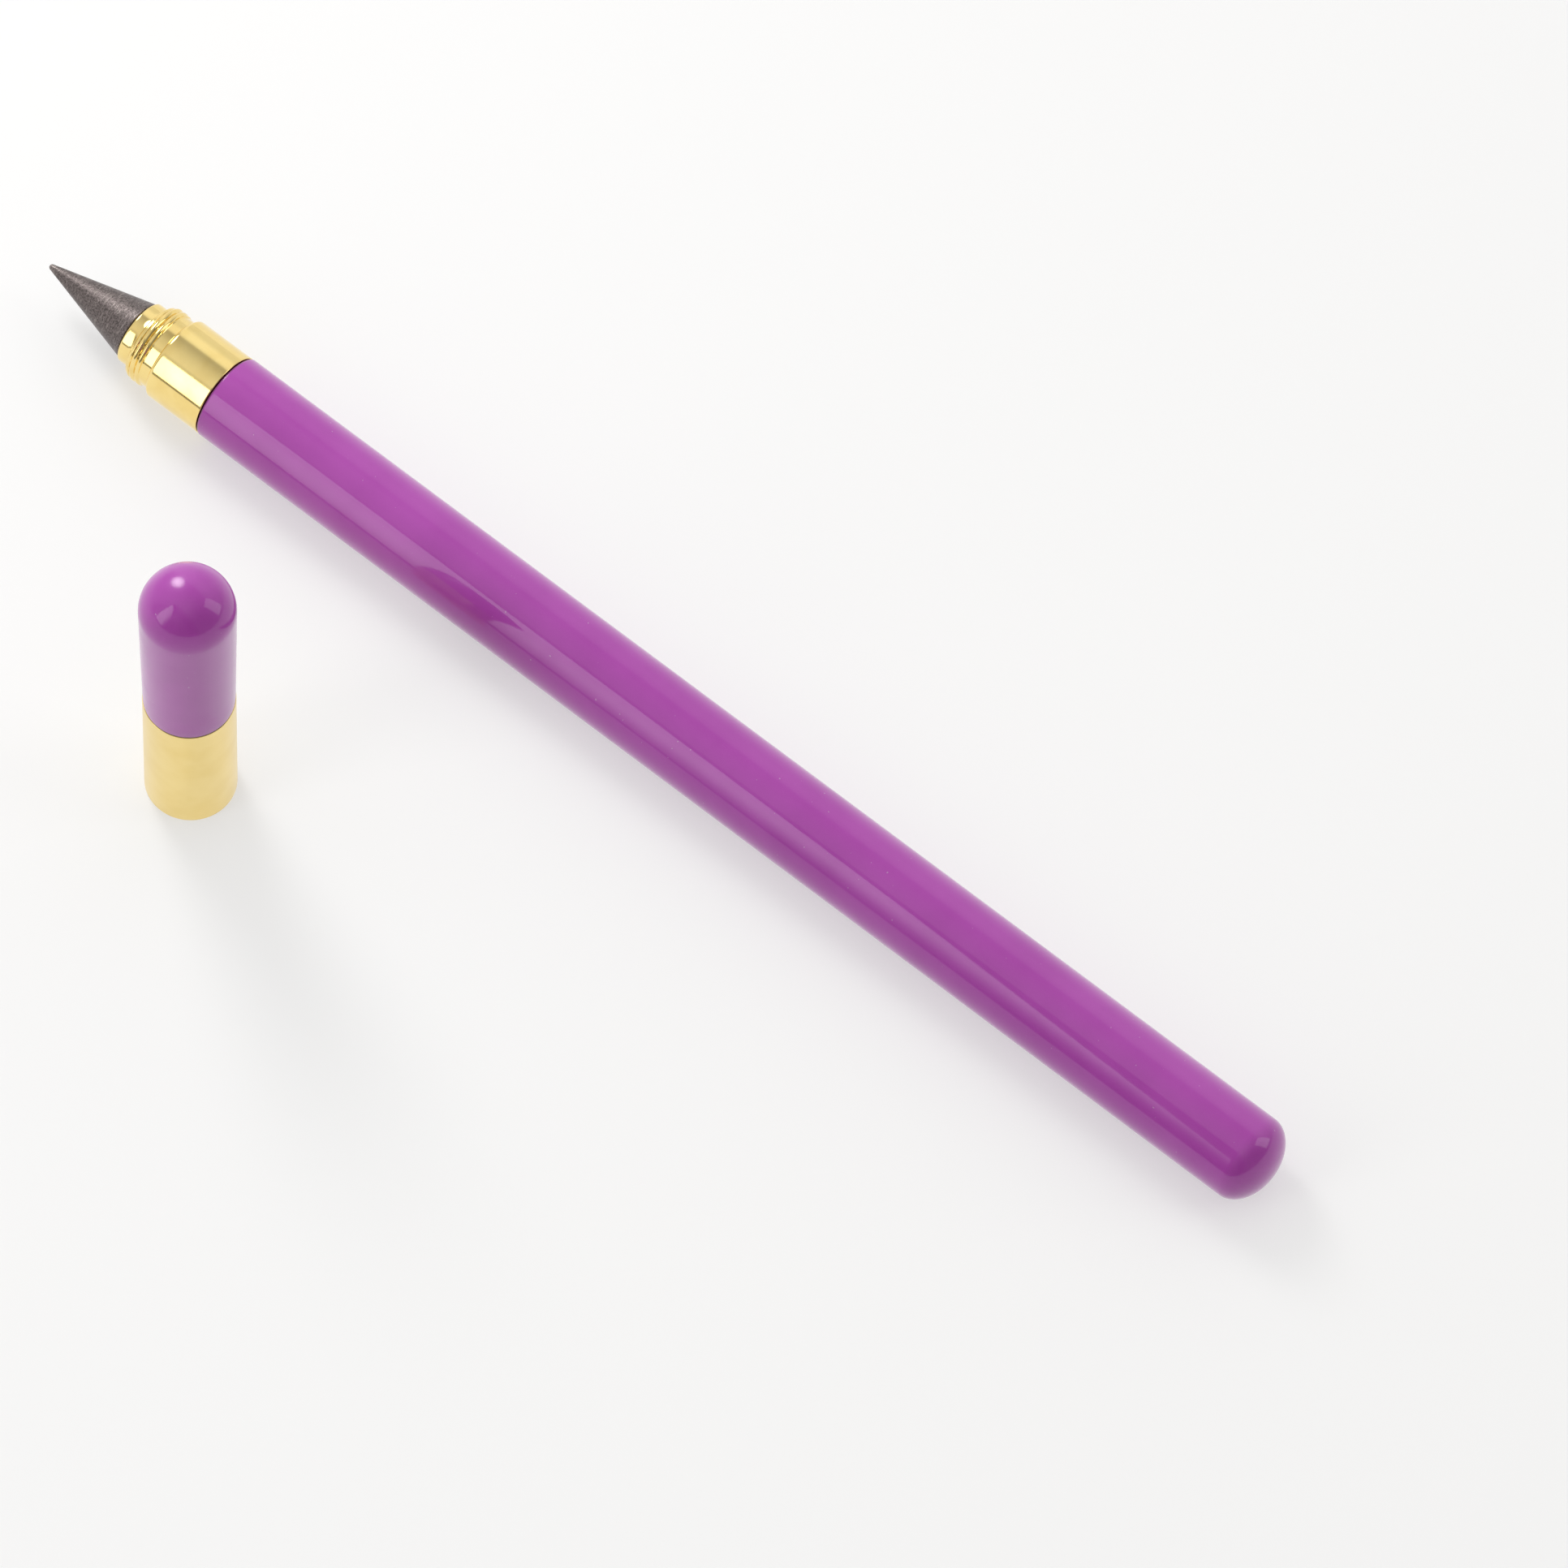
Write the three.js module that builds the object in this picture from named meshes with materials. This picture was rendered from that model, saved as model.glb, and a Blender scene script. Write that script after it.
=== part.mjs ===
// An inkless metal pencil lying on a desk, with its screw cap off and standing beside it.
// Millimetres, +Z up. +X runs from the nib to the closed rear end, and the desk is at z = 0.
// Every piece is turned, so each is one lathe profile of radius against distance.

import * as THREE from 'three';

// Barrel, whose diameter sets the diameters of what screws on and into it
const barrelDiameter = 8.5;
const barrelLength = 122.97;
const barrelWall = 0.75;
const barrelRearDepth = 2.9;
const barrelMouthRound = 0.22;

// Nib, a graphite alloy cone with a stub that is glued into a threaded holder
const coneLength = 10.7;
const coneTipRadius = 0.3;
const coneStep = 0.25;
const coneBaseRound = 0.1;
const stubDiameter = 3.0;
const stubLength = 4.1;
const holderDiameter = 4.2;
const holderLength = 6.5;
const holderChamfer = 0.3;
const holderFloor = 2.0;

// Ferrule, from its front face to the shoulder where the barrel starts
const noseLength = 1.23;
const noseStep = 0.52;
const noseRamp = 0.25;
const noseRound = 0.16;
const threadPitch = 0.6;
const threadTurns = 3;
const threadDepth = 0.225;
const neckLength = 0.82;
const sleeveLength = 6.23;
const sleeveStep = 0.03;
const sleeveRise = 0.45;
const sleeveRearRound = 0.1;
const spigotLength = 12;
const spigotChamfer = 0.4;
const glueGrooveCount = 3;
const glueGrooveWidth = 0.8;
const glueGrooveDepth = 0.2;
const glueGroovePitch = 3;
const socketSpare = 0.4;

// Cap, a threaded band with a spigot inside a domed shell
const capLength = 37.8;
const bandLength = 16.5;
const bandThinWall = 0.27;
const bandSpigotLength = 6;
const bandRimRound = 0.1;
const bandThreadRelief = 0.5;
const shellWall = 0.45;
const shellFootStep = 0.04;
const shellCrownFlare = 0.19;
const shellFootRound = 0.08;

// Gaps between pieces
const threadClearance = 0.04;
const noseClearance = 0.25;
const glueGap = 0.05;
const seamGap = 0.1;

// Where the cap stands, from the nib's point
const capAlong = 42.75;
const capAcross = 30.4;

// Facets round each piece, along a quarter round and over a thread crest
const turnSteps = 48;
const quarterSteps = 6;
const smallQuarterSteps = 3;
const crestSteps = 4;

// Radii that follow from the barrel's
const barrelRadius = barrelDiameter / 2;
const boreRadius = barrelRadius - barrelWall;
const crestRadius = barrelRadius - bandThinWall - threadClearance;
const neckRadius = crestRadius - threadDepth;
const noseRadius = neckRadius - noseStep;
const coneRadius = noseRadius - coneStep;
const sleeveRadius = barrelRadius - sleeveStep;
const spigotRadius = boreRadius - glueGap;
const stubRadius = stubDiameter / 2;
const holderRadius = holderDiameter / 2;
const socketRadius = holderRadius + glueGap;
const bandBoreRadius = noseRadius + noseClearance;
const bandThreadRadius = crestRadius + threadClearance;
const shellFootRadius = barrelRadius - shellFootStep;
const shellCrownRadius = barrelRadius + shellCrownFlare;
const shellBoreRadius = shellFootRadius - shellWall;
const bandSpigotRadius = shellBoreRadius - glueGap;

// Distances from the nib's point
const noseFront = coneLength + seamGap;
const threadFront = noseFront + noseLength + noseRamp;
const threadRear = threadFront + threadTurns * threadPitch;
const sleeveFront = threadRear + neckLength;
const sleeveRear = sleeveFront + sleeveLength;
const barrelFront = sleeveRear + seamGap;
const pencilLength = barrelFront + barrelLength;

// A point of a profile, at a radius and a distance along the axis
function at(radius, distance) {
  return new THREE.Vector2(radius, distance);
}

// Points of a quarter ellipse that turns from one direction to the next.
// The angles are in quarter turns: 0 points outwards, 1 towards growing distance.
function quarter(centre, radial, axial, from, to, steps) {
  return Array.from({ length: steps + 1 }, (_, i) => {
    const angle = THREE.MathUtils.lerp(from, to, i / steps) * Math.PI / 2;
    return at(centre.x + radial * Math.cos(angle), centre.y + axial * Math.sin(angle));
  });
}

// Rounded thread crests that stand out by depth, or in where depth is negative
function crests(rootRadius, depth, from, pitch, count) {
  const points = [];
  for (let turn = 0; turn < count; turn++) {
    for (let i = 0; i <= crestSteps; i++) {
      const share = i / crestSteps;
      const radius = rootRadius + depth * Math.sin(Math.PI * share);
      points.push(at(radius, from + pitch * (turn + share)));
    }
  }
  return points.filter((point, i) => i === 0 || point.distanceTo(points[i - 1]) > 1e-6);
}

// A body turned from its profile, round the X axis or round the Z axis
function turned(name, profile, axis, look) {
  const geometry = new THREE.LatheGeometry(profile, turnSteps);
  if (axis === 'x') geometry.rotateZ(-Math.PI / 2);
  else geometry.rotateX(Math.PI / 2);
  const mesh = new THREE.Mesh(geometry, new THREE.MeshStandardMaterial(look));
  mesh.name = name;
  return mesh;
}

const lacquer = { color: 0xa544a3, roughness: 0.18, metalness: 0.35 };
const gold = { color: 0xe6cf86, roughness: 0.14, metalness: 1 };
const satinGold = { color: 0xe2cc8c, roughness: 0.32, metalness: 1 };
const graphite = { color: 0x665c5c, roughness: 0.55, metalness: 0.6 };
const plainBrass = { color: 0xc2a25a, roughness: 0.35, metalness: 1 };

// The writing cone, with its worn point, sharp rear edge and glued stub
function nibTip() {
  const baseFront = coneLength - coneBaseRound;
  const stubRear = coneLength + stubLength;
  return turned('nib_tip', [
    ...quarter(at(0, coneTipRadius), coneTipRadius, coneTipRadius, -1, 0, smallQuarterSteps),
    ...quarter(at(coneRadius - coneBaseRound, baseFront), coneBaseRound, coneBaseRound, 0, 1, smallQuarterSteps),
    at(stubRadius, coneLength),
    at(stubRadius, stubRear - glueGap),
    at(stubRadius - glueGap, stubRear),
    at(0, stubRear),
  ], 'x', graphite);
}

// The threaded carrier that the stub is glued into, so that a worn nib can be changed
function nibHolder() {
  const rear = noseFront + holderLength;
  const floor = rear - holderFloor;
  const bore = stubRadius + glueGap;
  return turned('nib_holder', [
    at(0, floor),
    at(bore, floor),
    at(bore, noseFront),
    at(holderRadius - holderChamfer, noseFront),
    at(holderRadius, noseFront + holderChamfer),
    at(holderRadius, rear - holderChamfer),
    at(holderRadius - holderChamfer, rear),
    at(0, rear),
  ], 'x', plainBrass);
}

// Glue grooves round the spigot, which end square
function spigotWall(from) {
  const points = [];
  for (let groove = 0; groove < glueGrooveCount; groove++) {
    const front = from + glueGroovePitch * (groove + 1) - glueGrooveWidth;
    const rear = front + glueGrooveWidth;
    points.push(at(spigotRadius, front));
    points.push(at(spigotRadius - glueGrooveDepth, front));
    points.push(at(spigotRadius - glueGrooveDepth, rear));
    points.push(at(spigotRadius, rear));
  }
  return points;
}

// The ferrule: nib socket, nose collar, cap thread, neck, sleeve and spigot in one turning
function ferrule() {
  const socketFloor = noseFront + holderLength + socketSpare;
  const spigotRear = sleeveRear + spigotLength;
  const noseRear = noseFront + noseLength;
  return turned('ferrule', [
    at(0, socketFloor + socketRadius / 2),
    at(socketRadius, socketFloor),
    at(socketRadius, noseFront),
    ...quarter(at(noseRadius - noseRound, noseFront + noseRound), noseRound, noseRound, -1, 0, smallQuarterSteps),
    at(noseRadius, noseRear),
    ...crests(neckRadius, threadDepth, threadFront, threadPitch, threadTurns),
    at(neckRadius, sleeveFront),
    ...quarter(at(neckRadius, sleeveFront + sleeveRise), sleeveRadius - neckRadius, sleeveRise, -1, 0, quarterSteps)
      .slice(1),
    at(sleeveRadius, sleeveRear - sleeveRearRound),
    at(sleeveRadius - sleeveRearRound, sleeveRear),
    at(spigotRadius, sleeveRear),
    ...spigotWall(sleeveRear),
    at(spigotRadius, spigotRear - spigotChamfer),
    at(spigotRadius - spigotChamfer, spigotRear),
    at(0, spigotRear),
  ], 'x', gold);
}

// The lacquered tube, open at the ferrule and closed by its domed rear end
function barrel() {
  const domeStart = pencilLength - barrelRearDepth;
  const innerDepth = barrelRearDepth - barrelWall;
  return turned('barrel', [
    ...quarter(at(0, domeStart), boreRadius, innerDepth, 1, 0, quarterSteps),
    at(boreRadius, barrelFront),
    ...quarter(at(barrelRadius - barrelMouthRound, barrelFront + barrelMouthRound),
      barrelMouthRound, barrelMouthRound, -1, 0, smallQuarterSteps),
    ...quarter(at(0, domeStart), barrelRadius, barrelRearDepth, 0, 1, 2 * quarterSteps),
  ], 'x', lacquer);
}

// The cap's gold band: rim, inner thread, bore for the nose, and spigot up into the shell
function capBand() {
  const threadStart = neckLength - threadPitch / 2;
  const threadEnd = threadStart + threadPitch * (threadTurns + 1);
  const boreStart = threadEnd + bandThreadRelief;
  const spigotTop = bandLength + bandSpigotLength;
  const lead = bandThreadRadius - bandBoreRadius;
  return turned('cap_band', [
    at(bandThreadRadius, 0),
    ...quarter(at(barrelRadius - bandRimRound, bandRimRound), bandRimRound, bandRimRound, -1, 0, smallQuarterSteps),
    at(barrelRadius, bandLength - bandRimRound),
    at(barrelRadius - bandRimRound, bandLength),
    at(bandSpigotRadius, bandLength),
    at(bandSpigotRadius, spigotTop),
    at(bandBoreRadius, spigotTop),
    at(bandBoreRadius, boreStart + lead),
    at(bandThreadRadius, boreStart),
    ...crests(bandThreadRadius, -threadDepth, threadStart, threadPitch, threadTurns + 1).reverse(),
    at(bandThreadRadius, 0),
  ], 'z', satinGold);
}

// The cap's lacquered shell, a little wider at its crown than at its foot, with a round top
function capShell() {
  const foot = bandLength + seamGap / 2;
  const domeStart = capLength - shellCrownRadius;
  return turned('cap_shell', [
    ...quarter(at(0, domeStart), shellBoreRadius, shellCrownRadius - shellWall, 1, 0, quarterSteps),
    at(shellBoreRadius, foot),
    ...quarter(at(shellFootRadius - shellFootRound, foot + shellFootRound),
      shellFootRound, shellFootRound, -1, 0, smallQuarterSteps),
    ...quarter(at(0, domeStart), shellCrownRadius, shellCrownRadius, 0, 1, 2 * quarterSteps),
  ], 'z', lacquer);
}

// The pencil lies along X, and the two groups together are centred on the origin
const pencil = new THREE.Group();
pencil.add(nibTip(), nibHolder(), ferrule(), barrel());
const acrossCentre = (capAcross + shellCrownRadius - barrelRadius) / 2;
pencil.position.set(-pencilLength / 2, acrossCentre, barrelRadius);

const cap = new THREE.Group();
cap.add(capBand(), capShell());
cap.position.set(capAlong - pencilLength / 2, acrossCentre - capAcross, 0);

const group = new THREE.Group();
group.add(pencil, cap);

export default group;
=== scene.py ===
import bpy
import math
from mathutils import Matrix, Quaternion, Vector


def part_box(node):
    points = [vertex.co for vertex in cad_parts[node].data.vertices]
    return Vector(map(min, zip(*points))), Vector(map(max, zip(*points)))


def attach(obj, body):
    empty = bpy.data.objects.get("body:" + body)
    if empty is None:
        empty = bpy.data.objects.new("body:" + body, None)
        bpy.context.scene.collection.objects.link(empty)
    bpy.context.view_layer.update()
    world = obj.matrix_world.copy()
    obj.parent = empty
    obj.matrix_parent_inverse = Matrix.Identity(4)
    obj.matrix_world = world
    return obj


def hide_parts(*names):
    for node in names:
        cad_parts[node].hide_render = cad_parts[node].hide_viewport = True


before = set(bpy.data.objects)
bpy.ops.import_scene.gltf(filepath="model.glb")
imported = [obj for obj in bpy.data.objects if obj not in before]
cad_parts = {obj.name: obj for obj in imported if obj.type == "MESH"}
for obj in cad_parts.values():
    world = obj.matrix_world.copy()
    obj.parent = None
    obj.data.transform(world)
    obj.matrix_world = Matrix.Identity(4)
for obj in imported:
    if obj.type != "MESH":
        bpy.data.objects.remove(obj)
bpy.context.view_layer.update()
print("frame loaded:", ", ".join(sorted(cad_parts)))

millimetre = 1e-3                            # the pieces' lengths are in millimetres
micrometre = 1e-6                            # the heights of their relief in micrometres


# Turned pieces: each is a profile of (radius, distance) points, swept round its own axis

lathe = {
    "steps": 160,               # points round a piece, unless it says otherwise
    "sharpAngle": 34,           # degrees: an edge that turns by more stays sharp
    "same": 1e-6,               # lengths closer than this are the same
}


def addObject(name, data):
    made = bpy.data.objects.new(name, data)
    bpy.context.scene.collection.objects.link(made)
    return made


def arc(radius, distance, radial, axial, start, end, steps):
    # angles in quarter turns: 0 points outwards, 1 points along the axis
    turns = [start + (end - start) * i / steps for i in range(steps + 1)]
    angles = [math.pi / 2 * t for t in turns]
    return [(radius + radial * math.cos(a), distance + axial * math.sin(a)) for a in angles]


def roundEdge(radius, distance, size, start, end, steps):
    return arc(radius, distance, size, size, start, end, steps)


def wall(radius, start, end, row):
    # a cylinder's wall in short lengths, so that threads and marks have points to use.
    # a row is the greatest length, and how far the wall stays off its start and off its end
    greatest, offStart, offEnd = row
    way = 1 if end > start else -1
    start, end = start + way * offStart, end - way * offEnd
    count = max(1, math.ceil(abs(end - start) / greatest))
    return [(radius, start + (end - start) * i / count) for i in range(count + 1)]


def between(first, last, count):
    # points on the line from one profile point to another, without the two
    shares = [i / count for i in range(1, count)]
    return [tuple(a + (b - a) * share for a, b in zip(first, last)) for share in shares]


def easeIn(x):
    x = min(max(x, 0.0), 1.0)
    return x * x * (3 - 2 * x)


def threadHeight(thread, distance, angle):
    # a right-hand thread, which fades in and out at its ends
    turns = (distance - thread["crest"]) / thread["pitch"] - angle / math.tau
    crest = (0.5 + 0.5 * math.cos(math.tau * turns)) ** thread["sharpness"]
    runIn = easeIn((distance - thread["start"]) / thread["runIn"])
    runOut = easeIn((thread["end"] - distance) / thread["runOut"])
    return thread["height"] * crest * runIn * runOut


def heightAt(threads, radius, distance, angle):
    for thread in threads:
        onThread = abs(radius - thread["radius"]) < lathe["same"]
        if onThread and thread["start"] < distance < thread["end"]:
            return threadHeight(thread, distance, angle)
    return 0.0


def turnedPiece(name, profile, place, threads=(), steps=lathe["steps"]):
    rings, points, faces = [], [], []
    closed = math.dist(profile[0], profile[-1]) < lathe["same"]
    for radius, distance in profile[:-1] if closed else profile:
        if radius < lathe["same"]:
            rings.append([len(points)] * steps)
            points.append((0, 0, distance * millimetre))
            continue
        rings.append(list(range(len(points), len(points) + steps)))
        for i in range(steps):
            angle = math.tau * i / steps
            r = (radius + heightAt(threads, radius, distance, angle)) * millimetre
            points.append((r * math.cos(angle), r * math.sin(angle), distance * millimetre))
    following = rings[1:] + rings[:1] if closed else rings[1:]
    for lower, upper in zip(rings, following):
        for i in range(steps):
            j = (i + 1) % steps
            faces.append(list(dict.fromkeys((lower[i], lower[j], upper[j], upper[i]))))
    mesh = bpy.data.meshes.new(name)
    mesh.from_pydata(points, [], faces)
    mesh.validate()
    mesh.shade_smooth()
    mesh.set_sharp_from_angle(angle=math.radians(lathe["sharpAngle"]))
    piece = addObject(name, mesh)
    piece.matrix_world = place
    return piece


def standFor(piece, node, body, material):
    piece.data.materials.append(material)
    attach(piece, body)
    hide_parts(node)
    print("made:", piece.name, "with", len(piece.data.polygons), "faces")


# Shader maths: a wrapped socket takes part in plain expressions

def bare(value):
    return value.socket if isinstance(value, Wire) else value


def addNode(tree, kind, settings, sockets, output=0):
    made = tree.nodes.new(kind)
    for name, value in settings.items():
        if name == "stops":
            elements = made.color_ramp.elements
            while len(elements) < len(value):
                elements.new(0.5)
            for element, (position, grey) in zip(elements, value):
                element.position = position
                element.color = (grey, grey, grey, 1.0)
        else:
            setattr(made, name, value)
    for name, value in sockets.items():
        value = bare(value)
        if isinstance(value, bpy.types.NodeSocket):
            tree.links.new(value, made.inputs[name])
        else:
            made.inputs[name].default_value = value
    return Wire(tree, made.outputs[output]) if output is not None else None


def ease(tree, value, low, high, toLow=0.0, toHigh=1.0):
    sockets = {"Value": value, "From Min": low, "From Max": high, "To Min": toLow, "To Max": toHigh}
    return addNode(tree, "ShaderNodeMapRange", {"interpolation_type": "SMOOTHSTEP"}, sockets)


def partOf(tree, vector, axis):
    return addNode(tree, "ShaderNodeSeparateXYZ", {}, {0: vector}, axis)


def ramp(tree, position, rows):
    # a brightness for each position from -1 to 1
    stops = [((where + 1) / 2, glow) for where, glow in rows]
    return addNode(tree, "ShaderNodeValToRGB", {"stops": stops}, {"Fac": position * 0.5 + 0.5})


class Wire:
    def __init__(self, tree, socket):
        self.tree = tree
        self.socket = socket

    def maths(self, operation, first, second):
        return addNode(self.tree, "ShaderNodeMath", {"operation": operation}, {0: first, 1: second})

    def __add__(self, other): return self.maths("ADD", self, other)
    def __radd__(self, other): return self.maths("ADD", other, self)
    def __sub__(self, other): return self.maths("SUBTRACT", self, other)
    def __rsub__(self, other): return self.maths("SUBTRACT", other, self)
    def __mul__(self, other): return self.maths("MULTIPLY", self, other)
    def __rmul__(self, other): return self.maths("MULTIPLY", other, self)
    def __pow__(self, other): return self.maths("POWER", self, other)


class Finish:
    def __init__(self, name):
        self.material = bpy.data.materials.new(name)
        self.material.use_nodes = True
        self.tree = self.material.node_tree
        self.tree.nodes.clear()
        metres = self.node("ShaderNodeTexCoord", {}, {}, "Object")
        sockets = {"Vector": metres, "Scale": 1 / millimetre}
        self.place = self.node("ShaderNodeVectorMath", {"operation": "SCALE"}, sockets)

    def node(self, kind, settings, sockets, output=0):
        return addNode(self.tree, kind, settings, sockets, output)

    def along(self):
        # distance along the piece's axis, in millimetres
        return partOf(self.tree, self.place, "Z")

    def stretched(self, x, y, z):
        return self.node("ShaderNodeVectorMath", {"operation": "MULTIPLY"}, {0: self.place, 1: (x, y, z)})

    def noise(self, scale, detail, where=None, roughness=0.55):
        sockets = {"Vector": where or self.place, "Scale": scale, "Detail": detail, "Roughness": roughness}
        return self.node("ShaderNodeTexNoise", {}, sockets)

    def ease(self, value, low, high, toLow=0.0, toHigh=1.0):
        return ease(self.tree, value, low, high, toLow, toHigh)

    def patches(self, row):
        scale, detail, low, high = row
        return self.ease(self.noise(scale, detail), low, high)

    def rings(self, row):
        across, along, detail, roughness = row
        return self.noise(1.0, detail, self.stretched(across, across, along), roughness)

    def lines(self, row):
        scale, width, stretch, broken = row
        cells = self.node("ShaderNodeTexVoronoi", {"feature": "DISTANCE_TO_EDGE"},
                          {"Vector": self.stretched(*stretch), "Scale": scale, "Randomness": 1.0})
        return self.ease(cells, 0.0, width, 1.0, 0.0) * self.patches(broken)

    def mixed(self, factor, first, second):
        return self.node("ShaderNodeMix", {"data_type": "RGBA"}, {0: factor, 6: first, 7: second}, 2)

    def twoTone(self, values):
        first, second = colour(values["colour"]), colour(values["shade"])
        return self.mixed(self.patches(values["shadePatches"]), first, second)

    def cover(self, base, mask, share, text):
        return self.mixed(mask * share, base, colour(text))

    def bump(self, relief, height, under=None):
        sockets = {"Height": relief, "Distance": height * micrometre, "Strength": 1.0}
        if under:
            sockets["Normal"] = under
        return self.node("ShaderNodeBump", {}, sockets)

    def surface(self, sockets):
        shader = self.node("ShaderNodeBsdfPrincipled", {}, sockets)
        self.node("ShaderNodeOutputMaterial", {}, {"Surface": shader}, None)
        return self.material


def colour(text):
    # a screen colour such as a544a3, as the linear values that a socket takes
    parts = [int(text[i:i + 2], 16) / 255 for i in (0, 2, 4)]
    linear = [c / 12.92 if c <= 0.04045 else ((c + 0.055) / 1.055) ** 2.4 for c in parts]
    return (*linear, 1.0)


# Finishes, whose scales are per millimetre. A share is how much of a colour shows over the others,
# and a value whose name ends in Rough adds to the roughness. The rows of numbers are
# patches: a noise's scale and detail, and the values where it starts to show and where it is full
# rings: scale across and along the axis, detail, roughness
# lines: scale, width, stretch, and the patches where the line isn't broken off

lacquer = {
    "colour": "aa41a7",
    "shade": "a43ba1",          # a little deeper in broad patches
    "shadePatches": (0.12, 3.0, 0.3, 0.7),
    "flake": "c877c5",
    "flakePatches": (22.0, 1.0, 0.6, 0.75),
    "flakeShare": 0.1,
    "rubbed": "c58fbb",         # on the edge of the open end
    "rubbedReach": 0.35,
    "rubbedByEdge": 0.5,
    "rubbedByNoise": 0.6,
    "rubbedNoise": (2.6, 4.0),
    "rubbedFrom": (0.84, 0.92),
    "rubbedShare": 0.5,
    "dust": "d9cfd9",
    "dustPatches": (2.3, 1.0, 0.782, 0.81),
    "dustShare": 0.25,
    "dustRough": 0.1,
    "dustHeight": 0.6,          # against the depth of a hairline
    "paintedMouthShade": "5c1650",          # painted shade round the open end, where it meets the next part
    "paintedMouthShadeReach": (0.1, 0.24),
    "paintedMouthShadeShare": 0.8,
    "smudgePatches": (0.3, 4.0, 0.46, 0.74),
    "smudgeRough": 0.04,
    "smudgeCoat": 0.05,
    "hairlines": (0.5, 0.005, (1.0, 1.0, 0.3), (0.4, 2.0, 0.52, 0.66)),
    "hairlineCoat": 0.3,
    "hairlineDepth": 0.8,
    "metallic": 0.02,
    "specular": 0.25,
    "roughness": 0.36,
    "peelNoise": (0.9, 2.0),
    "peel": 0.5,                # height of the orange peel
    "coat": 0.72,
    "coatRoughness": 0.05,
}


def purpleLacquer(name, openEnd):
    # openEnd: the distance along the piece at which its open end is
    v = lacquer
    f = Finish(name)
    base = f.twoTone(v)
    base = f.cover(base, f.patches(v["flakePatches"]), v["flakeShare"], v["flake"])
    along = f.along()
    edge = f.ease(along, openEnd, openEnd + v["rubbedReach"], 1.0, 0.0)
    wear = edge * v["rubbedByEdge"] + f.noise(*v["rubbedNoise"]) * v["rubbedByNoise"]
    base = f.cover(base, f.ease(wear, *v["rubbedFrom"]), v["rubbedShare"], v["rubbed"])
    speck = f.patches(v["dustPatches"])
    base = f.cover(base, speck, v["dustShare"], v["dust"])
    # painted shade: the lacquer is darkened just inside the open end, next to the joint
    start, end = v["paintedMouthShadeReach"]
    paintedMouthShade = f.ease(along, openEnd + start, openEnd + end, 1.0, 0.0)
    base = f.cover(base, paintedMouthShade, v["paintedMouthShadeShare"], v["paintedMouthShade"])
    line = f.lines(v["hairlines"])
    smudge = f.patches(v["smudgePatches"])
    peel = f.bump(f.noise(*v["peelNoise"]), v["peel"])
    return f.surface({
        "Base Color": base,
        "Roughness": v["roughness"] + smudge * v["smudgeRough"] + speck * v["dustRough"],
        "Metallic": v["metallic"],
        "Specular IOR Level": v["specular"],
        "Coat Weight": v["coat"] - smudge * v["smudgeCoat"] - line * v["hairlineCoat"],
        "Coat Roughness": v["coatRoughness"],
        "Normal": f.bump(speck * v["dustHeight"] - line, v["hairlineDepth"], peel),
    })


gold = {
    "colour": "f7dd93",
    "shade": "f1d487",
    "shadePatches": (0.35, 3.0, 0.35, 0.7),
    "roughness": 0.07,
    "haze": (0.5, 4.0, 0.45, 0.75),
    "hazeRough": 0.03,
    "rings": (0.1, 6.0, 4.0, 0.7),
    "ringsFrom": (0.5, 0.72),
    "ringRough": 0.04,
    "ringHeight": 0.35,
    "lines": (0.7, 0.008, (0.6, 0.6, 1.6), (0.56, 2.0, 0.52, 0.66)),
    "lineRough": 0.12,
    "lineDepth": 0.6,           # against the height of a ring
    "waveNoise": (0.4, 2.0),
    "waveHeight": 0.8,
}


def polishedGold(name):
    v = gold
    f = Finish(name)
    rings = f.rings(v["rings"])
    line = f.lines(v["lines"])
    rough = v["roughness"] + f.patches(v["haze"]) * v["hazeRough"]
    rough = rough + f.ease(rings, *v["ringsFrom"]) * v["ringRough"] + line * v["lineRough"]
    wavy = f.bump(f.noise(*v["waveNoise"]), v["waveHeight"])
    return f.surface({
        "Base Color": f.twoTone(v),
        "Roughness": rough,
        "Metallic": 1.0,
        "Normal": f.bump(rings - line * v["lineDepth"], v["ringHeight"], wavy),
    })


bandGold = {
    "colour": "f3da92",
    "shade": "eed386",
    "shadePatches": (0.25, 2.0, 0.3, 0.75),
    "worn": "d9b76d",           # at the rim
    "wornPatches": (2.0, 4.0, 0.42, 0.62),
    "wornReach": 0.45,
    "wornShare": 0.4,
    "wornRough": 0.1,
    "roughness": 0.28,
    "haze": (0.4, 3.0, 0.45, 0.75),
    "hazeRough": 0.02,
    "rings": (0.04, 11.0, 4.0, 0.6),
    "ringsFrom": (0.4, 0.7),
    "ringRough": 0.02,
    "ringHeight": 0.12,
    "waveNoise": (0.3, 1.0),
    "waveHeight": 0.6,
}


def satinGold(name):
    v = bandGold
    f = Finish(name)
    base = f.twoTone(v)
    rings = f.rings(v["rings"])
    worn = f.ease(f.along(), 0.0, v["wornReach"], 1.0, 0.0) * f.patches(v["wornPatches"])
    rough = v["roughness"] + f.patches(v["haze"]) * v["hazeRough"]
    rough = rough + f.ease(rings, *v["ringsFrom"]) * v["ringRough"] + worn * v["wornRough"]
    wavy = f.bump(f.noise(*v["waveNoise"]), v["waveHeight"])
    return f.surface({
        "Base Color": f.cover(base, worn, v["wornShare"], v["worn"]),
        "Roughness": rough,
        "Metallic": 1.0,
        "Normal": f.bump(rings, v["ringHeight"], wavy),
    })


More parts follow.
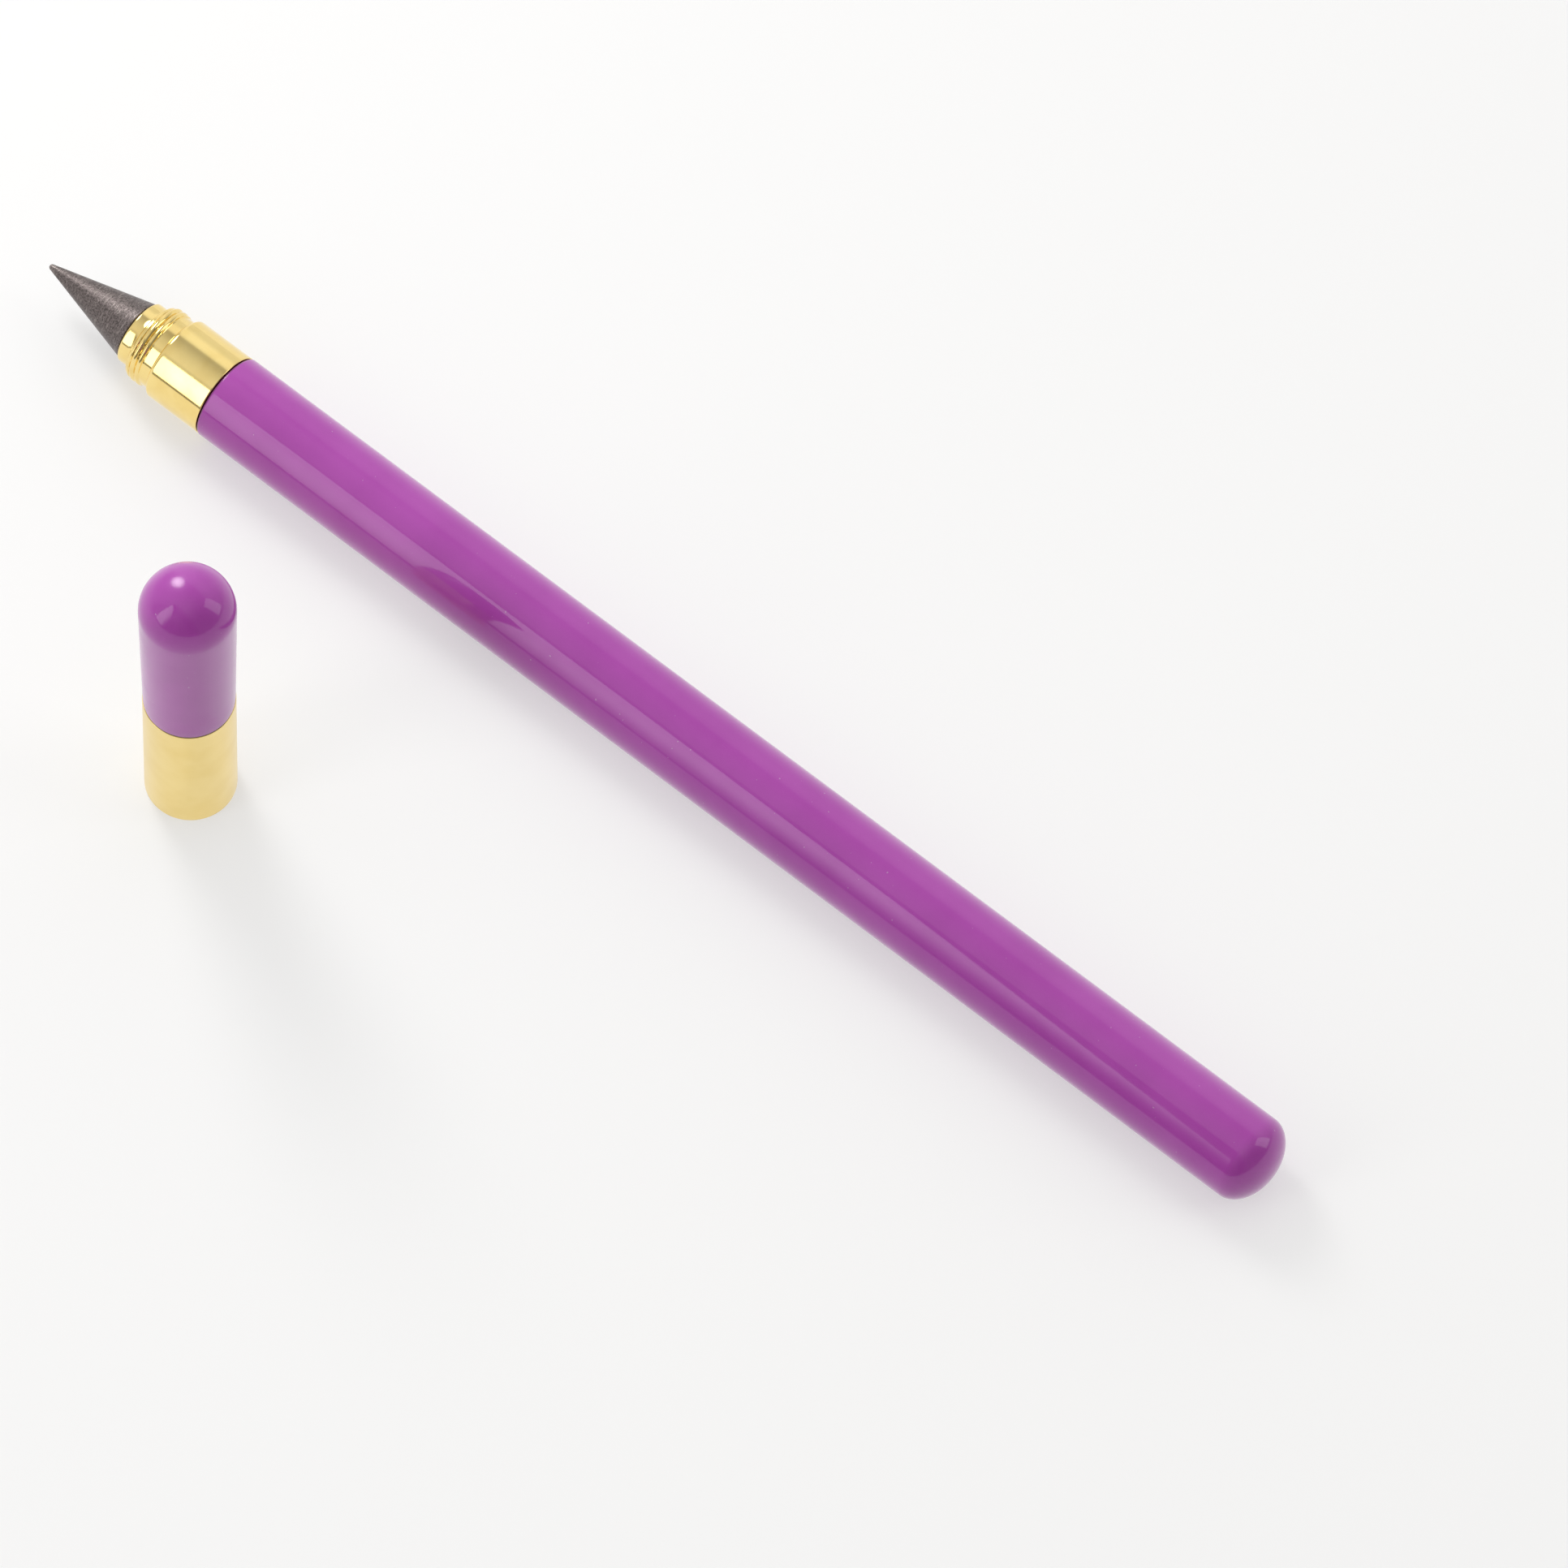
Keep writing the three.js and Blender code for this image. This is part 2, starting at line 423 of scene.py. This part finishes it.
graphite = {
    "colour": "7d7270",
    "deep": "4a4341",
    "bright": "c4b9b3",
    "grain": (6.0, 5.0),
    "grainRoughness": 0.75,
    "grainFrom": (0.38, 0.62),
    "rings": (0.9, 5.0, 5.0, 0.75),
    "ringsFrom": (0.52, 0.68),
    "ringShare": 0.4,
    "pit": "322d2c",
    "pitPatches": (11.0, 2.0, 0.64, 0.7),
    "pitShare": 0.6,
    "wornReach": (0.2, 1.4),    # the point is burnished by paper
    "wornShare": 0.2,
    "wornSmooth": 0.12,
    "metallic": 0.7,
    "roughness": 0.34,
    "grainRough": 0.14,
    "grainRoughFrom": (0.35, 0.65),
    "grainHeight": 0.8,         # of grain and rings, against the depth of a pit
    "pitDepth": 24.0,
}


def graphiteAlloy(name):
    v = graphite
    f = Finish(name)
    grain = f.noise(*v["grain"], None, v["grainRoughness"])
    base = f.mixed(f.ease(grain, *v["grainFrom"]), colour(v["deep"]), colour(v["colour"]))
    rings = f.rings(v["rings"])
    base = f.cover(base, f.ease(rings, *v["ringsFrom"]), v["ringShare"], v["bright"])
    pit = f.patches(v["pitPatches"])
    base = f.cover(base, pit, v["pitShare"], v["pit"])
    worn = f.ease(f.along(), *v["wornReach"], 1.0, 0.0)
    rougher = f.ease(grain, *v["grainRoughFrom"]) * v["grainRough"]
    return f.surface({
        "Base Color": f.cover(base, worn, v["wornShare"], v["bright"]),
        "Roughness": v["roughness"] + rougher - worn * v["wornSmooth"],
        "Metallic": v["metallic"],
        "Normal": f.bump(grain * v["grainHeight"] + rings * v["grainHeight"] - pit, v["pitDepth"]),
    })


brass = {
    "colour": "c9aa62",
    "shade": "a98745",
    "shadePatches": (0.6, 4.0, 0.35, 0.7),
    "stain": "7d6136",
    "stainPatches": (1.7, 5.0, 0.56, 0.72),
    "stainShare": 0.5,
    "stainRough": 0.2,
    "roughness": 0.3,
    "rings": (0.2, 12.0, 4.0, 0.7),
    "ringsFrom": (0.4, 0.7),
    "ringRough": 0.08,
    "ringHeight": 2.0,
}


def plainBrass(name):
    v = brass
    f = Finish(name)
    base = f.twoTone(v)
    stain = f.patches(v["stainPatches"])
    rings = f.rings(v["rings"])
    rougher = f.ease(rings, *v["ringsFrom"]) * v["ringRough"]
    return f.surface({
        "Base Color": f.cover(base, stain, v["stainShare"], v["stain"]),
        "Roughness": v["roughness"] + stain * v["stainRough"] + rougher,
        "Metallic": 1.0,
        "Normal": f.bump(rings, v["ringHeight"]),
    })


print("finishes ready")


# Where the two groups are: along the pencil from the nib's point, and up the cap from its rim

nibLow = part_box("nib_tip")[0]
barrelLow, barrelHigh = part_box("barrel")
bandLow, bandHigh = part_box("cap_band")
axisHeight = (barrelLow.z + barrelHigh.z) / 2
axisAcross = (barrelLow.y + barrelHigh.y) / 2
pencilPlace = Matrix(((0, 0, 1, nibLow.x), (1, 0, 0, axisAcross), (0, 1, 0, axisHeight), (0, 0, 0, 1)))
capPlace = Matrix.Translation(((bandLow.x + bandHigh.x) / 2, (bandLow.y + bandHigh.y) / 2, bandLow.z))


# Nib. The function wall says what the numbers in a row such as stubWall are

nib = {
    "coneLength": 10.7,
    "coneRadius": 2.945,
    "coneSteps": 40,
    "pointRadius": 0.3,
    "pointSteps": 10,
    "edgeRound": 0.1,
    "edgeSteps": 8,
    "stubRadius": 1.5,
    "stubEnd": 14.8,
    "stubBevel": 0.06,
    "stubWall": (0.5, 0.01, 0.0),
}


def makeNib():
    v = nib
    slope = math.atan2(v["coneRadius"] - v["pointRadius"], v["coneLength"] - v["pointRadius"])
    lift = slope / (math.pi / 2)
    edge = v["coneRadius"] - v["edgeRound"]
    coneEnd = (edge + v["edgeRound"] * math.cos(slope),
               v["coneLength"] - v["edgeRound"] * (1 + math.sin(slope)))
    profile = roundEdge(0, v["pointRadius"], v["pointRadius"], -1, -lift, v["pointSteps"])
    profile += between(profile[-1], coneEnd, v["coneSteps"])
    profile += roundEdge(edge, v["coneLength"] - v["edgeRound"], v["edgeRound"], -lift, 1, v["edgeSteps"])
    profile += [(v["stubRadius"], v["coneLength"])]
    profile += wall(v["stubRadius"], v["coneLength"], v["stubEnd"] - v["stubBevel"], v["stubWall"])
    profile += [(v["stubRadius"] - v["stubBevel"], v["stubEnd"]), (0, v["stubEnd"])]
    piece = turnedPiece("nibCone", profile, pencilPlace)
    standFor(piece, "nib_tip", "nib", graphiteAlloy("graphiteAlloy"))


# Nib carrier, which screws into the ferrule

carrier = {
    "front": 10.8,
    "rear": 17.3,
    "crestRadius": 2.1,
    "chamfer": 0.3,
    "bore": 1.55,
    "floor": 15.3,
    "threadDepth": 0.26,
    "threadInset": 0.25,        # from each end face to where the thread starts
    "thread": {"pitch": 0.7, "height": 0.255, "sharpness": 1.4, "runIn": 0.35, "runOut": 0.35},
    "threadWall": (0.05, 0.0, 0.0),
    "rootInset": 0.05,          # from each end face to the foot of its chamfer
    "steps": 96,
}


def makeCarrier():
    v = carrier
    root = v["crestRadius"] - v["threadDepth"]
    faceRadius = v["crestRadius"] - v["chamfer"]
    start = v["front"] + v["threadInset"]
    end = v["rear"] - v["threadInset"]
    thread = {**v["thread"], "radius": root, "start": start, "end": end, "crest": start}
    profile = [(0, v["floor"]), (v["bore"], v["floor"]), (v["bore"], v["front"])]
    profile += [(faceRadius, v["front"]), (root, v["front"] + v["rootInset"])]
    profile += wall(root, start, end, v["threadWall"])
    profile += [(root, v["rear"] - v["rootInset"]), (faceRadius, v["rear"]), (0, v["rear"])]
    piece = turnedPiece("nibCarrier", profile, pencilPlace, [thread], v["steps"])
    standFor(piece, "nib_holder", "nib_carrier", plainBrass("plainBrass"))


# Ferrule

ferrule = {
    "front": 10.8,
    "socketRadius": 2.15,
    "socketFloor": 17.7,
    "socketWall": (0.06, 0.4, 0.2),
    "socketBevel": 0.08,
    "socketInset": (0.25, 0.5),         # from the front and from the floor to where the thread starts
    "socketThread": {"pitch": 0.7, "height": 0.2, "sharpness": 1.4, "runIn": 0.3, "runOut": 0.3},
    "noseRadius": 3.195,
    "noseRear": 12.03,
    "noseRound": 0.16,
    "noseSteps": 8,
    "noseWall": (0.4, 0.1, 0.04),
    "noseFoot": [(0.012, -0.01), (0.04, 0.03)],     # points out and back from the collar's rear edge
    "neckRadius": 3.715,
    "neckWall": (0.3, 0.05, 0.1),
    "rampEnd": (-0.04, -0.02),          # out and back from where the cap's thread starts
    "capThread": {"start": 12.29, "end": 13.92, "crest": 12.135, "pitch": 0.6, "height": 0.225,
                  "sharpness": 0.38, "runIn": 0.45, "runOut": 0.14},
    "threadWall": (0.028, 0.0, 0.0),
    "sleeveFront": 14.9,
    "sleeveRadius": 4.22,
    "sleeveRise": 0.45,
    "sleeveRiseSteps": 16,
    "sleeveWall": (0.5, 0.05, 0.02),
    "sleeveRear": 21.13,
    "sleeveRound": 0.1,
    "sleeveRoundSteps": 6,
    "spigotRadius": 3.45,
    "spigotRear": 33.13,
    "spigotChamfer": 0.4,
    "grooves": 3,
    "grooveWidth": 0.8,
    "grooveDepth": 0.2,
    "groovePitch": 3.0,
}


def ferruleNose():
    v = ferrule
    outOfFoot = [(v["noseRadius"] + out, v["noseRear"] + back) for out, back in v["noseFoot"]]
    out, back = v["rampEnd"]
    profile = roundEdge(v["noseRadius"] - v["noseRound"], v["front"] + v["noseRound"], v["noseRound"],
                        -1, 0, v["noseSteps"])
    profile += wall(v["noseRadius"], v["front"] + v["noseRound"], v["noseRear"], v["noseWall"])
    return profile + outOfFoot + [(v["neckRadius"] + out, v["capThread"]["start"] + back)]


def ferruleSleeve():
    v = ferrule
    riseEnd = v["sleeveFront"] + v["sleeveRise"]
    roundStart = v["sleeveRear"] - v["sleeveRound"]
    profile = arc(v["neckRadius"], riseEnd, v["sleeveRadius"] - v["neckRadius"], v["sleeveRise"],
                  -1, 0, v["sleeveRiseSteps"])
    profile += wall(v["sleeveRadius"], riseEnd, roundStart, v["sleeveWall"])
    profile += roundEdge(v["sleeveRadius"] - v["sleeveRound"], roundStart, v["sleeveRound"],
                         0, 1, v["sleeveRoundSteps"])
    return profile


def ferruleSpigot():
    v = ferrule
    inner = v["spigotRadius"] - v["grooveDepth"]
    profile = [(v["spigotRadius"], v["sleeveRear"])]
    for i in range(v["grooves"]):
        front = v["sleeveRear"] + v["groovePitch"] * (i + 1) - v["grooveWidth"]
        rear = front + v["grooveWidth"]
        profile += [(v["spigotRadius"], front), (inner, front), (inner, rear), (v["spigotRadius"], rear)]
    profile += [(v["spigotRadius"], v["spigotRear"] - v["spigotChamfer"])]
    return profile + [(v["spigotRadius"] - v["spigotChamfer"], v["spigotRear"]), (0, v["spigotRear"])]


def makeFerrule():
    v = ferrule
    capThread = {**v["capThread"], "radius": v["neckRadius"]}
    fromFront, fromFloor = v["socketInset"]
    socketThread = {**v["socketThread"], "radius": v["socketRadius"], "crest": v["front"],
                    "start": v["front"] + fromFront, "end": v["socketFloor"] - fromFloor}
    profile = [(0, v["socketFloor"] + v["socketRadius"] / 2), (v["socketRadius"], v["socketFloor"])]
    profile += wall(v["socketRadius"], v["socketFloor"], v["front"], v["socketWall"])
    profile += [(v["socketRadius"], v["front"] + v["socketBevel"])]
    profile += [(v["socketRadius"] + v["socketBevel"], v["front"])]
    profile += ferruleNose()
    profile += wall(v["neckRadius"], capThread["start"], capThread["end"], v["threadWall"])
    profile += wall(v["neckRadius"], capThread["end"], v["sleeveFront"], v["neckWall"])
    profile += ferruleSleeve() + ferruleSpigot()
    piece = turnedPiece("ferruleTurning", profile, pencilPlace, [capThread, socketThread])
    standFor(piece, "ferrule", "pencil", polishedGold("polishedGold"))


# Barrel

barrel = {
    "front": 21.23,
    "end": 144.2,
    "radius": 4.25,
    "boreRadius": 3.5,
    "boreWall": (8.0, 0.2, 0.06),
    "rearDepth": 2.9,
    "rearSteps": 40,
    "innerDepth": 2.15,
    "innerSteps": 12,
    "mouthBevel": 0.06,
    "mouthRound": 0.22,
    "mouthSteps": 8,
    "outerWall": (3.0, 0.1, 0.1),
    "steps": 192,
}


def makeBarrel():
    v = barrel
    domeStart = v["end"] - v["rearDepth"]
    mouthEnd = v["front"] + v["mouthRound"]
    profile = arc(0, domeStart, v["boreRadius"], v["innerDepth"], 1, 0, v["innerSteps"])
    profile += wall(v["boreRadius"], domeStart, v["front"], v["boreWall"])
    profile += [(v["boreRadius"] + v["mouthBevel"], v["front"])]
    profile += roundEdge(v["radius"] - v["mouthRound"], mouthEnd, v["mouthRound"], -1, 0, v["mouthSteps"])
    profile += wall(v["radius"], mouthEnd, domeStart, v["outerWall"])
    profile += arc(0, domeStart, v["radius"], v["rearDepth"], 0, 1, v["rearSteps"])
    piece = turnedPiece("barrelTube", profile, pencilPlace, steps=v["steps"])
    finish = purpleLacquer("barrelLacquer", v["front"])
    standFor(piece, "barrel", "pencil", finish)


# Cap

band = {
    "length": 16.5,
    "radius": 4.25,
    "outerWall": (0.8, 0.1, 0.02),
    "rimRound": 0.1,
    "rimBevel": 0.05,           # inside the rim
    "topRound": 0.05,
    "roundSteps": 6,
    "threadRadius": 3.98,
    "thread": {"start": 0.52, "end": 2.92, "crest": 0.52, "pitch": 0.6, "height": -0.225,
               "sharpness": 1.3, "runIn": 0.25, "runOut": 0.25},
    "threadWall": (0.03, -0.1, -0.1),
    "relief": 0.5,
    "boreRadius": 3.445,
    "boreWall": (2.0, 0.1, 0.0),
    "spigotRadius": 3.71,
    "spigotTop": 22.5,
    "spigotChamfer": 0.1,
}


def makeBand():
    v = band
    thread = {**v["thread"], "radius": v["threadRadius"]}
    boreStart = thread["end"] + v["relief"]
    lead = v["threadRadius"] - v["boreRadius"]
    topRoundStart = v["length"] - v["topRound"]
    rimCorner = (v["threadRadius"] + v["rimBevel"], 0)
    profile = [rimCorner]
    profile += roundEdge(v["radius"] - v["rimRound"], v["rimRound"], v["rimRound"], -1, 0, v["roundSteps"])
    profile += wall(v["radius"], v["rimRound"], topRoundStart, v["outerWall"])
    profile += roundEdge(v["radius"] - v["topRound"], topRoundStart, v["topRound"], 0, 1, v["roundSteps"])
    profile += [(v["spigotRadius"], v["length"]), (v["spigotRadius"], v["spigotTop"] - v["spigotChamfer"])]
    profile += [(v["spigotRadius"] - v["spigotChamfer"], v["spigotTop"]), (v["boreRadius"], v["spigotTop"])]
    profile += wall(v["boreRadius"], v["spigotTop"], boreStart + lead, v["boreWall"])
    profile += [(v["threadRadius"], boreStart)]
    profile += wall(v["threadRadius"], thread["end"], thread["start"], v["threadWall"])
    profile += [(v["threadRadius"], v["rimBevel"]), rimCorner]
    piece = turnedPiece("capBand", profile, capPlace, [thread])
    standFor(piece, "cap_band", "cap", satinGold("satinGold"))


shell = {
    "foot": 16.55,
    "footRadius": 4.21,
    "footRound": 0.08,
    "footSteps": 6,
    "crownRadius": 4.44,
    "flareSteps": 24,           # from the foot to the crown
    "domeSteps": 40,
    "boreRadius": 3.76,
    "wall": 0.45,
    "innerSteps": 16,
    "end": 37.8,
    "steps": 192,
}


def makeShell():
    v = shell
    domeStart = v["end"] - v["crownRadius"]
    footEnd = v["foot"] + v["footRound"]
    profile = arc(0, domeStart, v["boreRadius"], v["crownRadius"] - v["wall"], 1, 0, v["innerSteps"])
    profile += [(v["boreRadius"], v["foot"])]
    profile += roundEdge(v["footRadius"] - v["footRound"], footEnd, v["footRound"], -1, 0, v["footSteps"])
    profile += between((v["footRadius"], footEnd), (v["crownRadius"], domeStart), v["flareSteps"])
    profile += roundEdge(0, domeStart, v["crownRadius"], 0, 1, v["domeSteps"])
    piece = turnedPiece("capShell", profile, capPlace, steps=v["steps"])
    finish = purpleLacquer("shellLacquer", v["foot"])
    standFor(piece, "cap_shell", "cap", finish)


makeNib()
makeCarrier()
makeFerrule()
makeBarrel()
makeBand()
makeShell()


# Studio. Its lengths are in metres, apart from where a box aims. Angles are in degrees

studio = {
    "floor": "f3f2f0",
    "floorRoughness": 0.6,
    "floorReach": 4.0,          # to each side of the middle
    "whiteSeen": 0.5,           # how much of the floor that the camera sees is plain white
    "whiteReflected": 0.8,      # the same for the floor that shows in gloss
    # brightness of the air by direction, from in front of the pencil (-1) over the top to behind it (1)
    "air": [(-1.0, 0.3), (-0.9, 0.36), (-0.8, 0.58), (-0.6, 0.45), (-0.5, 0.75), (-0.37, 0.87),
            (-0.17, 0.81), (0.04, 0.72), (0.26, 0.58), (0.42, 0.5), (0.5, 0.53), (0.58, 0.95),
            (0.66, 1.05), (0.8, 1.05), (0.9, 0.85), (1.0, 0.9)],
    "dimRight": 0.35,           # the air's share at the right
    "dimFrom": (0.1, 0.8),      # from where to where it falls to that, from the middle (0) to the right (1)
    # the air's share in front, from left (-1) to right (1)
    "gap": [(-0.31, 1.0), (-0.24, 0.05), (-0.16, 0.05), (-0.02, 0.7)],
    "gapEnds": (-0.47, -0.41),  # where in front it stops counting, as for the air
    "front": {"towards": (-0.315, -0.80, 0.485), "away": 0.8, "aim": (0, 0, 0), "wide": 0.37, "tall": 0.69,
              "tilt": 9, "glow": 2.3, "rightEnd": 0.05, "cut": 0.42},
    "rear": {"towards": (0.68, 0.53, 0.50), "away": 1.0, "aim": (0, 0, 0), "wide": 0.38, "tall": 0.8,
             "tilt": 0, "glow": 1.55, "rightEnd": 1.0, "cut": 0.0},
    "spot": {"towards": (-0.68, 0.34, 0.65), "away": 0.42, "aim": (-29, -15, 34), "wide": 0.22, "tall": 0.3,
             "tilt": 0, "glow": 12.2, "soft": 0.6},
    "rightEndFrom": 0.5,        # where across a box it starts to dim towards its right end
    "cutFrom": (0.35, 0.95),    # from where to where across a box its top is cut off more and more
}


def shadeBox(lamp, values):
    # either dims towards the right end with the top cut off slantwise, or fades softly from the middle
    lamp.use_nodes = True
    tree = lamp.node_tree
    tree.nodes.clear()
    face = addNode(tree, "ShaderNodeNewGeometry", {}, {}, "Parametric")
    if "rightEnd" in values:
        across = partOf(tree, face, "X")
        shade = ease(tree, across, studio["rightEndFrom"], 1.0, 1.0, values["rightEnd"])
        low, high = studio["cutFrom"]
        sockets = {"Value": across, "From Min": low, "From Max": high,
                   "To Min": 1.0, "To Max": 1.0 - values["cut"]}
        top = addNode(tree, "ShaderNodeMapRange", {}, sockets)
        sockets = {0: partOf(tree, face, "Y"), 1: top}
        shade = shade * addNode(tree, "ShaderNodeMath", {"operation": "LESS_THAN"}, sockets)
    else:
        sockets = {0: face, 1: (0.5, 0.5, 0.0)}
        fromMiddle = addNode(tree, "ShaderNodeVectorMath", {"operation": "DISTANCE"}, sockets, "Value")
        shade = ease(tree, fromMiddle, 0.0, 0.5, 1.0, 0.0) ** values["soft"]
    light = addNode(tree, "ShaderNodeEmission", {}, {"Strength": shade})
    addNode(tree, "ShaderNodeOutputLight", {}, {"Surface": light}, None)


def softBox(name, values):
    # glow is the brightness of the box's face
    lamp = bpy.data.lights.new(name, "AREA")
    lamp.shape = "RECTANGLE"
    lamp.size = values["wide"]
    lamp.size_y = values["tall"]
    lamp.energy = values["glow"] * math.pi * values["wide"] * values["tall"]
    shadeBox(lamp, values)
    box = addObject(name, lamp)
    towards = Vector(values["towards"]).normalized()
    box.location = Vector(values["aim"]) * millimetre + towards * values["away"]
    tilt = Quaternion((0, 0, 1), -math.radians(values["tilt"]))
    box.rotation_euler = (towards.to_track_quat("Z", "Y") @ tilt).to_euler()


def makeFloor():
    reach = studio["floorReach"]
    corners = [(-reach, -reach, 0), (reach, -reach, 0), (reach, reach, 0), (-reach, reach, 0)]
    mesh = bpy.data.meshes.new("floor")
    mesh.from_pydata(corners, [], [(0, 1, 2, 3)])
    floor = addObject("floor", mesh)
    f = Finish("paleFloor")
    sockets = {"Base Color": colour(studio["floor"]), "Roughness": studio["floorRoughness"]}
    painted = f.node("ShaderNodeBsdfPrincipled", {}, sockets)
    white = f.node("ShaderNodeEmission", {}, {"Strength": 1.0})
    seen = f.node("ShaderNodeLightPath", {}, {}, "Is Camera Ray")
    inGloss = Wire(f.tree, seen.socket.node.outputs["Is Glossy Ray"])
    share = seen * studio["whiteSeen"] + inGloss * studio["whiteReflected"]
    both = f.node("ShaderNodeMixShader", {}, {0: share, 1: painted, 2: white})
    f.node("ShaderNodeOutputMaterial", {}, {"Surface": both}, None)
    floor.data.materials.append(f.material)


def makeAir():
    # strips of soft light that run along the pencil
    world = bpy.data.worlds.new("studioAir")
    world.use_nodes = True
    tree = world.node_tree
    tree.nodes.clear()
    towards = addNode(tree, "ShaderNodeTexCoord", {}, {}, "Generated")
    behind = partOf(tree, towards, "Y")
    right = partOf(tree, towards, "X")
    dim = ease(tree, right, *studio["dimFrom"], 1.0, studio["dimRight"])
    inFront = ease(tree, behind, *studio["gapEnds"], 1.0, 0.0)
    gap = ramp(tree, right, studio["gap"])
    dim = dim * (1.0 - inFront * (1.0 - gap))
    shade = ramp(tree, behind, studio["air"])
    light = addNode(tree, "ShaderNodeBackground", {}, {"Color": shade, "Strength": dim})
    addNode(tree, "ShaderNodeOutputWorld", {}, {"Surface": light}, None)
    bpy.context.scene.world = world


makeFloor()
makeAir()
for part in ("front", "rear", "spot"):
    softBox(part + "Box", studio[part])
print("studio ready")


# Camera, in degrees and millimetres, but for its clip range in metres

view = {
    "azimuth": 36.70,
    "elevation": 63.34,
    "roll": 2.98,
    "distance": 1478.3,
    "target": (12.32, 19.21, 0.0),
    "lens": 372.7,
    "sensor": 36,
    "clip": (0.05, 30),
}


def makeCamera():
    lens = bpy.data.cameras.new("camera")
    lens.lens = view["lens"]
    lens.sensor_width = view["sensor"]
    lens.clip_start, lens.clip_end = view["clip"]
    camera = addObject("camera", lens)
    azimuth, elevation, roll = (math.radians(view[k]) for k in ("azimuth", "elevation", "roll"))
    level = math.cos(elevation)
    back = Vector((math.sin(azimuth) * level, -math.cos(azimuth) * level, math.sin(elevation)))
    right = Vector((0, 0, 1)).cross(back).normalized()
    up = back.cross(right)
    across = right * math.cos(roll) + up * math.sin(roll)
    upward = up * math.cos(roll) - right * math.sin(roll)
    turn = Matrix((across, upward, back)).transposed().to_4x4()
    place = Vector(view["target"]) * millimetre + back * view["distance"] * millimetre
    camera.matrix_world = Matrix.Translation(place) @ turn
    bpy.context.scene.camera = camera


makeCamera()
bpy.context.scene.view_settings.view_transform = "Standard"

bpy.context.view_layer.update()
